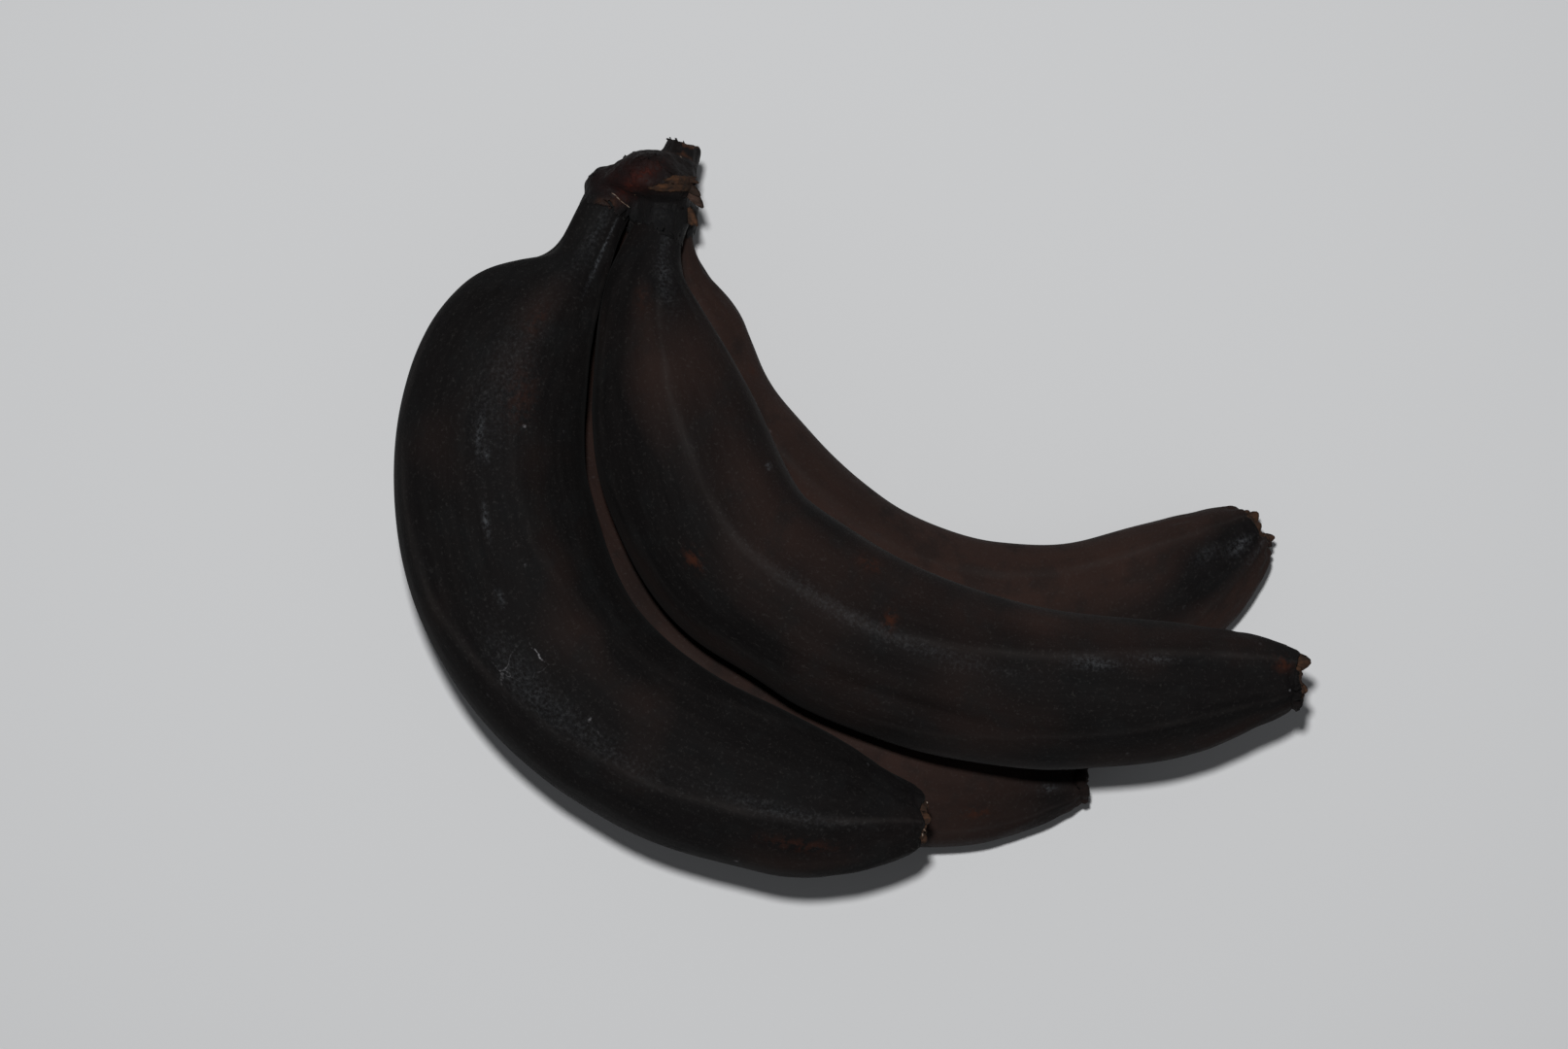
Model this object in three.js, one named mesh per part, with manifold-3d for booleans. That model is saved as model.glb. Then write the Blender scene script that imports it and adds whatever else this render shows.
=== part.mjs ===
// A bunch of four over-ripe bananas, lying on its side.
//
// Millimetres, +Z up. The bunch lies on the plane z = 0, and the origin is under the middle of its
// bounding box. The fingers leave the crown side by side in two layers, two below and two above, and
// every finger bends the same way round, with the hollow side of the bend towards +X +Y.
import * as THREE from 'three';
import { mergeVertices } from 'three/addons/utils/BufferGeometryUtils.js';
import Module from 'manifold-3d';

const wasm = await Module();
wasm.setup();

// ---- Driving dimensions ----------------------------------------------------------------------

const touchGap = 0.3; // clearance left where two pieces touch
const settle = 1.4; // how far a soft finger is pressed flat on what it lies on
const nestle = 2.2; // how far the upper layer sinks between the two fingers below

const neckDiameter = 10.6; // every finger's neck
const rowGap = 2.2; // space between the lower and the upper row of necks
const neckHeight = 37.4; // height of the middle of the crown over the table
const collarWall = 1.1; // crown round each neck's root

const crownThickness = 12; // from front to back
const crownWall = 0.6; // crown beyond the necks, to the left and right
const crownShift = 1; // how far the crown sits towards the outer fingers
const crownCap = 4.6; // crown beyond the necks, above and below
const crownSquareness = 3.4; // 2 would be an egg, and more is squarer
const crownNarrowing = 0.42; // how much narrower the crown gets towards its back, on its outer side
const stalkWidth = 9; // cut end where the hand was taken off its stalk
const stalkHeight = 15;
const stalkReach = 3; // how far that cut end stands out of the crown

const ridgeHeight = 0.03; // the five lengthwise ridges, as a share of the half width
const ridgeCount = 5;

const bowStretch = 0.8; // share of a finger over which it can stand off the crease

const remnantLength = 3.4; // dried flower left on a finger's tip
const remnantRaggedness = 0.16; // unevenness of its rim, as a share of its half width

// Each layer lies along a crease, the line where its two fingers meet, seen from above.
const upperCrease = [
  [-44.8, 61.8], [-50, 50], [-54.5, 33], [-56, 13], [-52.3, -6.5], [-42, -25], [-25, -37.5],
  [-3, -47], [25, -52], [55, -51.6], [85, -47.6], [115, -42],
];
const lowerCrease = [
  [-44.2, 62.6], [-48, 50], [-51, 36], [-51.2, 21], [-44.5, 4.5], [-31, -12], [-12, -28],
  [12, -38.8], [38, -42.6], [60, -38], [79, -27.6], [96, -13.5],
];

// length: along the finger's own middle, from its root in the crown to the tip's flat end
// girth: thickest diameter, crest of the way along; slimming: how much thinner it gets away from there
// neck, shoulder, taper: the straight neck, the stretch over which it swells out to the full girth,
// and the stretch over which the far end closes in to tipDiameter
// bow: how far the middle of the finger stands off the crease; rise: how far the tip is lifted
const fingers = [
  { place: 'lower_outer', layer: 'lower', side: 1, length: 199, girth: 35.4, crest: 0.5, slimming: 0.5,
    neck: 12, shoulder: 48, taper: 50, tipDiameter: 10, bow: 0, rise: -2, turn: 0.3 },
  { place: 'lower_inner', layer: 'lower', side: -1, length: 182, girth: 34.8, crest: 0.5, slimming: 0.35,
    neck: 3, shoulder: 43, taper: 30, tipDiameter: 12, bow: 0, rise: -1, turn: 0.32 },
  { place: 'upper_outer', layer: 'upper', side: 1, length: 188, girth: 39.4, crest: 0.47, slimming: 1,
    neck: 13, shoulder: 31, taper: 24, tipDiameter: 12, bow: 0, rise: 0, turn: 0.6 },
  { place: 'upper_inner', layer: 'upper', side: -1, length: 193, girth: 37, crest: 0.38, slimming: 0.7,
    neck: 4, shoulder: 50, taper: 36, tipDiameter: 10.6, bow: 4.4, rise: -2, turn: 0.15 },
];

// ---- Solids ----------------------------------------------------------------------------------

// Closes the seams of a geometry, so that only positions and true triangles are left.
function weld(geometry) {
  const bare = geometry.clone();
  bare.deleteAttribute('normal');
  bare.deleteAttribute('uv');
  const welded = mergeVertices(bare, 1e-3);
  const index = welded.index.array;
  const kept = [];
  for (let i = 0; i < index.length; i += 3) {
    const [a, b, c] = [index[i], index[i + 1], index[i + 2]];
    if (a !== b && b !== c && c !== a) kept.push(a, b, c);
  }
  welded.setIndex(kept);
  return welded;
}

function toSolid(geometry) {
  const welded = weld(geometry);
  const mesh = new wasm.Mesh({
    numProp: 3,
    vertProperties: new Float32Array(welded.attributes.position.array),
    triVerts: new Uint32Array(welded.index.array),
  });
  return new wasm.Manifold(mesh);
}

function toGeometry(solid) {
  const mesh = solid.getMesh();
  const geometry = new THREE.BufferGeometry();
  geometry.setAttribute('position', new THREE.BufferAttribute(mesh.vertProperties, 3));
  geometry.setIndex(new THREE.BufferAttribute(mesh.triVerts, 1));
  geometry.computeVertexNormals();
  return geometry;
}

// ---- Fingers ---------------------------------------------------------------------------------

const neckRadius = neckDiameter / 2;
const rowOffset = neckRadius + rowGap / 2;

function swell(share) {
  const t = THREE.MathUtils.clamp(share, 0, 1);
  return Math.sin(t * Math.PI / 2) ** 1.3;
}

// Half width of a finger before its end closes in. This is also how far it keeps from the crease.
function bodyRadius(finger, along) {
  const away = Math.abs(along / finger.length - finger.crest);
  const full = finger.girth / 2 * (1 - finger.slimming * away ** 1.5);
  return neckRadius + (full - neckRadius) * swell((along - finger.neck) / finger.shoulder);
}

function radiusAt(finger, along) {
  const tipRadius = finger.tipDiameter / 2;
  const open = Math.sin(Math.PI / 2 * THREE.MathUtils.clamp((finger.length - along) / finger.taper, 0, 1));
  return tipRadius + (bodyRadius(finger, along) - tipRadius) * open;
}

function thickest(layer) {
  return Math.max(...fingers.filter((finger) => finger.layer === layer).map((finger) => finger.girth));
}

// Height of a finger's middle: its neck's row at the crown, and then what it lies on.
function heightAt(finger, along) {
  const lower = finger.layer === 'lower';
  const neck = neckHeight + (lower ? -rowOffset : rowOffset);
  const bed = lower ? -settle : thickest('lower') - settle + touchGap - nestle;
  const lying = bed + finger.girth / 2;
  const drop = THREE.MathUtils.smoothstep(along, 0, finger.neck + finger.shoulder * 0.6);
  const lift = finger.rise * THREE.MathUtils.smoothstep(along, finger.length - finger.taper * 2, finger.length);
  return neck + (lying - neck) * drop + lift;
}

// Walks along the layer's crease and keeps the finger's own half width to one side of it.
function middleLine(finger) {
  const crease = (finger.layer === 'lower' ? lowerCrease : upperCrease).map(([x, y]) => new THREE.Vector3(x, y, 0));
  const guide = new THREE.CatmullRomCurve3(crease, false, 'centripetal');
  const guideLength = guide.getLength();
  const end = guide.getPointAt(1);
  const onward = guide.getTangentAt(1);
  const step = 1;
  const easing = 14;
  const knotSpacing = 12;
  const points = [];
  let along = 0;
  let last = null;
  for (let walked = 0; along < finger.length; walked += step) {
    const share = Math.min(walked / guideLength, 1);
    const place = share < 1
      ? guide.getPointAt(share)
      : end.clone().addScaledVector(onward, walked - guideLength);
    const heading = share < 1 ? guide.getTangentAt(share) : onward;
    const aside = new THREE.Vector3(heading.y, -heading.x, 0).multiplyScalar(finger.side);
    const bowed = Math.min(along / finger.length / bowStretch, 1);
    const standOff = finger.bow * Math.sin(Math.PI * bowed) ** 2;
    place.addScaledVector(aside, bodyRadius(finger, along) + touchGap / 2 + standOff);
    if (last) along += place.distanceTo(last);
    last = place.clone();
    place.z = heightAt(finger, along);
    points.push(place);
  }
  const eased = points.map((point, i) => {
    const reach = Math.min(i, points.length - 1 - i, easing);
    const nearby = points.slice(i - reach, i + reach + 1);
    return nearby.reduce((sum, each) => sum.addScaledVector(each, 1 / nearby.length), new THREE.Vector3());
  });
  const knots = eased.filter((point, i) => i % knotSpacing === 0 && i < eased.length - knotSpacing / 2);
  knots.push(eased[eased.length - 1]);
  return new THREE.CatmullRomCurve3(knots, false, 'centripetal');
}

// A turned profile, bent along the finger's middle line. grown adds the same thickness all round.
function fingerGeometry(finger, line, grown = 0) {
  const stations = 38;
  const around = 22;
  const profile = [new THREE.Vector2(0, 0)];
  for (let i = 0; i <= stations; i += 1) {
    const share = i / stations;
    profile.push(new THREE.Vector2(radiusAt(finger, share * finger.length) + grown, share));
  }
  profile.push(new THREE.Vector2(0, 1));
  const geometry = new THREE.LatheGeometry(profile, around);
  const position = geometry.attributes.position;
  const up = new THREE.Vector3(0, 0, 1);
  for (let i = 0; i < position.count; i += 1) {
    const angle = Math.atan2(position.getZ(i), position.getX(i));
    const share = position.getY(i);
    const ridge = 1 + ridgeHeight * Math.cos(ridgeCount * (angle - finger.turn));
    const radius = Math.hypot(position.getX(i), position.getZ(i)) * ridge;
    const heading = line.getTangentAt(share);
    const aside = new THREE.Vector3().crossVectors(heading, up).normalize();
    const above = new THREE.Vector3().crossVectors(aside, heading);
    const point = line.getPointAt(share)
      .addScaledVector(aside, radius * Math.cos(angle))
      .addScaledVector(above, radius * Math.sin(angle))
      .addScaledVector(heading, (share - 0.5) * 2 * grown);
    position.setXYZ(i, point.x, point.y, Math.max(point.z, 0));
  }
  return geometry;
}

// ---- Crown -----------------------------------------------------------------------------------

// A rounded lump that reaches from y = 0 backwards, with the cut end of the stalk at its inner corner.
function crownLump() {
  const width = 2 * (neckDiameter + crownWall) + touchGap;
  const height = 2 * (neckDiameter + crownCap) + rowGap;
  const depth = crownThickness;
  const lump = new THREE.SphereGeometry(1, 32, 20);
  const position = lump.attributes.position;
  for (let i = 0; i < position.count; i += 1) {
    const [x, y, z] = [position.getX(i), position.getY(i), position.getZ(i)];
    const square = (Math.abs(x) ** crownSquareness + Math.abs(y) ** crownSquareness
      + Math.abs(z) ** crownSquareness) ** (1 / crownSquareness);
    const inner = width / 2;
    const narrow = 1 - crownNarrowing * (y / square + 1) / 2;
    const across = inner + (x / square * width / 2 - inner) * narrow - crownShift;
    position.setXYZ(i, across, y / square * depth / 2, z / square * height / 2);
  }
  lump.translate(0, depth / 2, 0);
  const stalk = new THREE.CylinderGeometry(stalkWidth * 0.42, stalkWidth / 2, depth / 2 + stalkReach, 14);
  stalk.scale(1, 1, stalkHeight / stalkWidth);
  stalk.translate(0, depth / 2 + (depth / 2 + stalkReach) / 2, 0);
  stalk.translate(width / 2 - stalkWidth / 2 - crownWall - crownShift, 0, 0);
  return toSolid(lump).add(toSolid(stalk));
}

// ---- Dried flower remnants -------------------------------------------------------------------

function remnantGeometry(finger) {
  const around = 12;
  const wide = finger.tipDiameter / 2;
  const geometry = new THREE.CylinderGeometry(wide * 0.55, wide * 0.8, remnantLength, around, 1);
  const position = geometry.attributes.position;
  for (let i = 0; i < position.count; i += 1) {
    const angle = Math.atan2(position.getZ(i), position.getX(i));
    const ragged = 1 + remnantRaggedness * Math.cos(3 * angle + finger.turn);
    position.setX(i, position.getX(i) * ragged);
    position.setZ(i, position.getZ(i) * ragged);
  }
  geometry.translate(0, remnantLength / 2 + touchGap, 0);
  return geometry;
}

// ---- Assembly --------------------------------------------------------------------------------

const peel = { color: '#1e1a18', roughness: 0.62, metalness: 0 };
const driedFlower = { color: '#5b4a38', roughness: 0.9, metalness: 0 };
const crownSkin = { color: '#2b1c18', roughness: 0.75, metalness: 0 };

function piece(name, geometry, look) {
  const mesh = new THREE.Mesh(geometry, new THREE.MeshStandardMaterial(look));
  mesh.name = name;
  return mesh;
}

const bunch = new THREE.Group();

// Fingers are laid down one by one, and each is pressed flat where it meets one already lying there.
const laid = [];
for (const finger of fingers) {
  const line = middleLine(finger);
  let solid = toSolid(fingerGeometry(finger, line));
  for (const other of laid) {
    solid = solid.subtract(other.grown);
  }
  laid.push({ finger, line, solid, grown: toSolid(fingerGeometry(finger, line, touchGap)) });
}

for (const { finger, line, solid } of laid) {
  bunch.add(piece(`banana_${finger.place}`, toGeometry(solid), peel));
  const remnant = piece(`flower_remnant_${finger.place}`, weld(remnantGeometry(finger)), driedFlower);
  remnant.position.copy(line.getPointAt(1));
  remnant.quaternion.setFromUnitVectors(new THREE.Vector3(0, 1, 0), line.getTangentAt(1));
  bunch.add(remnant);
}

// The crown stands behind the four necks, square to the way they leave it, and rings every root.
const roots = laid.map(({ line }) => line.getPointAt(0));
const crownPlace = new THREE.Vector3();
roots.forEach((root) => crownPlace.addScaledVector(root, 1 / roots.length));
crownPlace.z = neckHeight;
const away = new THREE.Vector3();
laid.forEach(({ line }) => away.sub(line.getTangentAt(0)));
const turn = THREE.MathUtils.radToDeg(Math.atan2(away.y, away.x)) - 90;
let crown = crownLump().rotate(0, 0, turn).translate(crownPlace.x, crownPlace.y, crownPlace.z);
for (const root of roots) {
  const collar = new THREE.SphereGeometry(neckRadius + collarWall, 20, 14);
  collar.translate(root.x, root.y, root.z);
  crown = crown.add(toSolid(collar));
}
for (const { grown } of laid) {
  crown = crown.subtract(grown);
}
bunch.add(piece('crown', toGeometry(crown), crownSkin));

// The origin goes under the middle of the whole bunch.
const box = new THREE.Box3().setFromObject(bunch);
const middle = box.getCenter(new THREE.Vector3());
bunch.position.set(-middle.x, -middle.y, -box.min.z);
bunch.updateMatrixWorld(true);

export default bunch;
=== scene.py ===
import math

import bpy
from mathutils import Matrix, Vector, noise
from mathutils.bvhtree import BVHTree


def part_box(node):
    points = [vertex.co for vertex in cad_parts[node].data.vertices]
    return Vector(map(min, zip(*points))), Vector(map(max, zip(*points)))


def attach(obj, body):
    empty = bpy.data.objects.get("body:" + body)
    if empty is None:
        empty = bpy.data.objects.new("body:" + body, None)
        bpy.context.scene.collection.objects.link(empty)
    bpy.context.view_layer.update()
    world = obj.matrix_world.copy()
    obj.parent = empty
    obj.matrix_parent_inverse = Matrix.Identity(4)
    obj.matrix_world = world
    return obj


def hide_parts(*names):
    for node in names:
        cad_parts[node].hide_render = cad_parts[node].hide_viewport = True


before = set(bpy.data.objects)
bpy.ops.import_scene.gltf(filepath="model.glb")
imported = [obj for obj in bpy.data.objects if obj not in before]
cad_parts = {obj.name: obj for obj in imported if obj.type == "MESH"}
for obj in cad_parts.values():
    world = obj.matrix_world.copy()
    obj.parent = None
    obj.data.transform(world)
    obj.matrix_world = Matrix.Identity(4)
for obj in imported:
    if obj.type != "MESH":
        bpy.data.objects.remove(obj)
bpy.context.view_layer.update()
bpy.ops.object.select_all(action="DESELECT")
print("frame loaded")


# camera, straight over the bunch
cameraSpot = {"aside": -0.0153, "along": -0.0042, "height": 0.9, "lens": 96.7}

bpy.ops.object.camera_add(
    location=(cameraSpot["aside"], cameraSpot["along"], cameraSpot["height"]), rotation=(0, 0, 0)
)
camera = bpy.context.object
camera.name = "camera"
camera.data.lens = cameraSpot["lens"]
camera.data.sensor_width = 36
camera.data.clip_end = 20
bpy.context.scene.camera = camera
print("camera placed")


# small helpers for modelling

def pick(piece):
    bpy.ops.object.select_all(action="DESELECT")
    bpy.context.view_layer.objects.active = piece
    piece.select_set(True)


def bake(piece, modifier):
    pick(piece)
    bpy.ops.object.modifier_apply(modifier=modifier.name)


def smoothen(piece, levels):
    rounding = piece.modifiers.new("rounding", "SUBSURF")
    rounding.levels = levels
    rounding.render_levels = levels
    bake(piece, rounding)


def ease(value, low, high):
    share = min(max((value - low) / (high - low), 0), 1)
    return share * share * (3 - 2 * share)


def bell(value, middle, width):
    return math.exp(-((value - middle) / width) ** 2)


def turnBetween(first, second):
    return (first - second + math.pi) % (2 * math.pi) - math.pi


mm = 0.001


def startRing(name, around, radius):
    # a filled ring standing across X, open for drawing out in edit mode
    bpy.ops.object.select_all(action="DESELECT")
    bpy.ops.mesh.primitive_circle_add(vertices=around, radius=radius, fill_type="NGON",
                                      location=(0, 0, 0), rotation=(0, math.pi / 2, 0))
    piece = bpy.context.object
    piece.name = name
    bpy.ops.object.transform_apply(rotation=True)
    bpy.ops.object.mode_set(mode="EDIT")
    bpy.ops.mesh.select_all(action="SELECT")
    return piece


def drawOut(steps):
    # extrudes the picked end: millimetres forward, millimetres up, then how much narrower
    for forward, lift, narrow in steps:
        bpy.ops.mesh.extrude_region_move(TRANSFORM_OT_translate={"value": (forward * mm, 0, lift * mm)})
        bpy.ops.transform.resize(value=(1, narrow, narrow), center_override=(0, 0, 0))


def endRing():
    bpy.ops.mesh.select_all(action="SELECT")
    bpy.ops.mesh.normals_make_consistent(inside=False)
    bpy.ops.object.mode_set(mode="OBJECT")


# node helpers

def feed(tree, value, socket):
    # a socket is linked, anything else is set
    if isinstance(value, bpy.types.NodeSocket):
        tree.links.new(value, socket)
    else:
        socket.default_value = value


def addNode(tree, kind, inputs=None, **settings):
    node = tree.nodes.new(kind)
    for name, value in settings.items():
        setattr(node, name, value)
    for name, value in (inputs or {}).items():
        feed(tree, value, node.inputs[name])
    return node


def newGroup(name, inputs, outputs):
    tree = bpy.data.node_groups.new(name, "ShaderNodeTree")
    for label, kind, value in inputs:
        socket = tree.interface.new_socket(label, in_out="INPUT", socket_type=kind)
        if value is not None:
            socket.default_value = value
    for label, kind in outputs:
        tree.interface.new_socket(label, in_out="OUTPUT", socket_type=kind)
    return tree, tree.nodes.new("NodeGroupInput"), tree.nodes.new("NodeGroupOutput")


def buildStreaks():
    # noise drawn out along a finger, from 0 to 1
    tree, given, made = newGroup(
        "streaks",
        [("place", "NodeSocketVector", None), ("fineness", "NodeSocketFloat", 200.0),
         ("drawnOut", "NodeSocketFloat", 0.15), ("softness", "NodeSocketFloat", 0.25)],
        [("streak", "NodeSocketFloat")],
    )
    narrow = addNode(tree, "ShaderNodeCombineXYZ",
                     {"X": given.outputs["drawnOut"], "Y": 1.0, "Z": 1.0})
    drawn = addNode(tree, "ShaderNodeVectorMath",
                    {0: given.outputs["place"], 1: narrow.outputs[0]}, operation="MULTIPLY")
    grain = addNode(tree, "ShaderNodeTexNoise",
                    {"Vector": drawn.outputs[0], "Scale": given.outputs["fineness"], "Detail": 5.0,
                     "Roughness": 0.62})
    middle = 0.5
    low = addNode(tree, "ShaderNodeMath", {0: middle, 1: given.outputs["softness"]}, operation="SUBTRACT")
    high = addNode(tree, "ShaderNodeMath", {0: middle, 1: given.outputs["softness"]}, operation="ADD")
    spread = addNode(tree, "ShaderNodeMapRange",
                     {"Value": grain.outputs["Fac"], "From Min": low.outputs[0],
                      "From Max": high.outputs[0]})
    tree.links.new(spread.outputs[0], made.inputs["streak"])
    return tree


def buildSpecks():
    # scattered small dots, 1 on a dot and 0 off it
    tree, given, made = newGroup(
        "specks",
        [("place", "NodeSocketVector", None), ("fineness", "NodeSocketFloat", 400.0),
         ("size", "NodeSocketFloat", 0.18), ("amount", "NodeSocketFloat", 0.2)],
        [("speck", "NodeSocketFloat")],
    )
    wobble = addNode(tree, "ShaderNodeTexNoise",
                     {"Vector": given.outputs["place"], "Scale": 1500.0, "Detail": 2.0})
    bend = addNode(tree, "ShaderNodeVectorMath",
                   {0: wobble.outputs["Color"], "Scale": 0.0011}, operation="SCALE")
    bent = addNode(tree, "ShaderNodeVectorMath",
                   {0: given.outputs["place"], 1: bend.outputs[0]}, operation="ADD")
    cells = addNode(tree, "ShaderNodeTexVoronoi",
                    {"Vector": bent.outputs[0], "Scale": given.outputs["fineness"]})
    near = addNode(tree, "ShaderNodeMapRange",
                   {"Value": cells.outputs["Distance"], "From Min": given.outputs["size"],
                    "From Max": 0.02})
    chance = addNode(tree, "ShaderNodeSeparateColor", {"Color": cells.outputs["Color"]})
    kept = addNode(tree, "ShaderNodeMath", {0: chance.outputs[0], 1: given.outputs["amount"]},
                   operation="LESS_THAN")
    dot = addNode(tree, "ShaderNodeMath", {0: near.outputs[0], 1: kept.outputs[0]}, operation="MULTIPLY")
    tree.links.new(dot.outputs[0], made.inputs["speck"])
    return tree


def buildPatches():
    # large soft-edged patches, from 0 to 1
    tree, given, made = newGroup(
        "patches",
        [("place", "NodeSocketVector", None), ("fineness", "NodeSocketFloat", 40.0),
         ("level", "NodeSocketFloat", 0.55), ("edge", "NodeSocketFloat", 0.12)],
        [("patch", "NodeSocketFloat")],
    )
    grain = addNode(tree, "ShaderNodeTexNoise",
                    {"Vector": given.outputs["place"], "Scale": given.outputs["fineness"], "Detail": 4.0,
                     "Roughness": 0.6})
    high = addNode(tree, "ShaderNodeMath",
                   {0: given.outputs["level"], 1: given.outputs["edge"]}, operation="ADD")
    shape = addNode(tree, "ShaderNodeMapRange",
                    {"Value": grain.outputs["Fac"], "From Min": given.outputs["level"],
                     "From Max": high.outputs[0]}, interpolation_type="SMOOTHSTEP")
    tree.links.new(shape.outputs[0], made.inputs["patch"])
    return tree


effects = {"streaks": buildStreaks(), "specks": buildSpecks(), "patches": buildPatches()}


def useEffect(tree, name, inputs):
    node = tree.nodes.new("ShaderNodeGroup")
    node.node_tree = effects[name]
    for label, value in inputs.items():
        feed(tree, value, node.inputs[label])
    return node.outputs[0]


def tint(tree, base, over, mask):
    # sockets 0, 6 and 7 are the share and the two colours, output 2 is the mixed colour
    mixed = addNode(tree, "ShaderNodeMix", data_type="RGBA")
    feed(tree, mask, mixed.inputs[0])
    feed(tree, base, mixed.inputs[6])
    feed(tree, over, mixed.inputs[7])
    return mixed.outputs[2]


def calc(tree, operation, first, second=0.0, clamp=False):
    return addNode(tree, "ShaderNodeMath", {0: first, 1: second}, operation=operation,
                   use_clamp=clamp).outputs[0]


def portion(tree, mask, least, most):
    # least plus the mask times most
    return calc(tree, "ADD", least, calc(tree, "MULTIPLY", mask, most))


def newMaterial(name):
    material = bpy.data.materials.new(name)
    material.use_nodes = True
    tree = material.node_tree
    return material, tree, tree.nodes["Principled BSDF"]


# peel

peelLook = {
    "black": (0.0042, 0.0037, 0.0038, 1),
    "brown": (0.028, 0.0152, 0.0122, 1),
    "slate": (0.0075, 0.0082, 0.0085, 1),
    "worn": (0.034, 0.03, 0.0285, 1),
    # the bloom and dust colours are partly real dust and bloom, partly painted highlight sparkle
    "bloomAndSparkle": (0.055, 0.059, 0.064, 1),
    "rust": (0.034, 0.0115, 0.0065, 1),
    "dustAndSparkle": (0.075, 0.071, 0.067, 1),
    "scuff": (0.22, 0.215, 0.225, 1),
    "roughness": 0.76,
    "mottleRoughness": 0.13,
    "gloss": 0.042,
    "sheen": 0.008,
    "sheenRoughness": 0.45,
    "slateShare": 0.4,
    "streakShare": 0.09,
    "wearLeast": 0.12,
    "wearMost": 0.27,
    "dustAndSparkleShare": 0.16,
    "fleckShare": 0.5,
    "bumpStrength": 0.6,
    "bumpDepth": 0.00022,
}


def shadeOf(tree, name):
    return addNode(tree, "ShaderNodeAttribute", attribute_name=name).outputs["Fac"]


def makePeel(name):
    material, tree, surface = newMaterial(name)
    look = peelLook
    place = addNode(tree, "ShaderNodeAttribute", attribute_name="peelPlace").outputs["Vector"]
    broad = useEffect(tree, "streaks",
                      {"place": place, "fineness": 55.0, "drawnOut": 0.35, "softness": 0.2})
    fine = useEffect(tree, "streaks",
                     {"place": place, "fineness": 520.0, "drawnOut": 0.1, "softness": 0.22})
    mottle = useEffect(tree, "patches", {"place": place, "fineness": 110.0, "level": 0.48, "edge": 0.2})
    grain = addNode(tree, "ShaderNodeTexNoise",
                    {"Vector": place, "Scale": 1400.0, "Detail": 4.0, "Roughness": 0.7}).outputs["Fac"]

    # black, going brown where the peel is thinner, with slate grey mottling
    brown = calc(tree, "MULTIPLY", shadeOf(tree, "brown"), portion(tree, broad, 0.55, 0.6), True)
    colour = tint(tree, look["black"], look["brown"], brown)
    colour = tint(tree, colour, look["slate"], calc(tree, "MULTIPLY", mottle, look["slateShare"]))
    colour = tint(tree, colour, look["worn"], calc(tree, "MULTIPLY", fine, look["streakShare"]))

    # paler along the ridges, where the peel has been rubbed
    rubbed = portion(tree, fine, look["wearLeast"], look["wearMost"])
    rubbed = calc(tree, "MULTIPLY", shadeOf(tree, "wear"), rubbed)
    colour = tint(tree, colour, look["worn"], rubbed)

    # dust grains, and grey bloom in some places: partly real dust and bloom, partly a painted highlight
    # sparkle standing in for the glitter of light on the peel
    dustAndSparkle = addNode(tree, "ShaderNodeMapRange", {"Value": grain, "From Min": 0.56, "From Max": 0.72})
    dustAndSparkle = calc(tree, "MULTIPLY", dustAndSparkle.outputs[0], look["dustAndSparkleShare"])
    grainBreakup = addNode(tree, "ShaderNodeMapRange", {"Value": grain, "From Min": 0.4, "From Max": 0.62})
    grainBreakup = grainBreakup.outputs[0]
    # grainy grey bloom: real bloom in places, and painted highlight sparkle along the lit tops of the
    # fingers
    colour = tint(tree, colour, look["bloomAndSparkle"], calc(tree, "MULTIPLY", shadeOf(tree, "bloomAndSparkle"), grainBreakup))
    # fine pale grains all over: real dust, and painted sparkle of light in the highlights
    colour = tint(tree, colour, look["dustAndSparkle"], dustAndSparkle)
    flecks = useEffect(tree, "specks", {"place": place, "fineness": 330.0, "size": 0.17, "amount": 0.035})
    crowded = useEffect(tree, "patches", {"place": place, "fineness": 38.0, "level": 0.5, "edge": 0.12})
    flecks = calc(tree, "MULTIPLY", flecks, portion(tree, crowded, 0.15, 0.85))
    colour = tint(tree, colour, look["scuff"], calc(tree, "MULTIPLY", flecks, look["fleckShare"]))

    # rusty spots, and thin branching scratches where it was knocked
    rusty = useEffect(tree, "patches", {"place": place, "fineness": 620.0, "level": 0.4, "edge": 0.2})
    colour = tint(tree, colour, look["rust"], calc(tree, "MULTIPLY", shadeOf(tree, "rust"), rusty))
    wobble = addNode(tree, "ShaderNodeTexNoise", {"Vector": place, "Scale": 160.0, "Detail": 3.0})
    swing = addNode(tree, "ShaderNodeVectorMath", {0: wobble.outputs["Color"], "Scale": 0.006},
                    operation="SCALE")
    swung = addNode(tree, "ShaderNodeVectorMath", {0: place, 1: swing.outputs[0]}, operation="ADD")
    cells = addNode(tree, "ShaderNodeTexVoronoi", {"Vector": swung.outputs[0], "Scale": 150.0},
                    feature="DISTANCE_TO_EDGE")
    line = addNode(tree, "ShaderNodeMapRange",
                   {"Value": cells.outputs["Distance"], "From Min": 0.022, "From Max": 0.008})
    scratch = calc(tree, "MULTIPLY", line.outputs[0], shadeOf(tree, "scuff"))
    colour = tint(tree, colour, look["scuff"], calc(tree, "MULTIPLY", scratch, grainBreakup))
    tree.links.new(colour, surface.inputs["Base Color"])

    rough = addNode(tree, "ShaderNodeMapRange",
                    {"Value": mottle, "To Min": look["roughness"],
                     "To Max": look["roughness"] + look["mottleRoughness"]})
    tree.links.new(rough.outputs[0], surface.inputs["Roughness"])
    surface.inputs["Specular IOR Level"].default_value = look["gloss"]
    surface.inputs["Sheen Weight"].default_value = look["sheen"]
    surface.inputs["Sheen Roughness"].default_value = look["sheenRoughness"]

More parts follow.
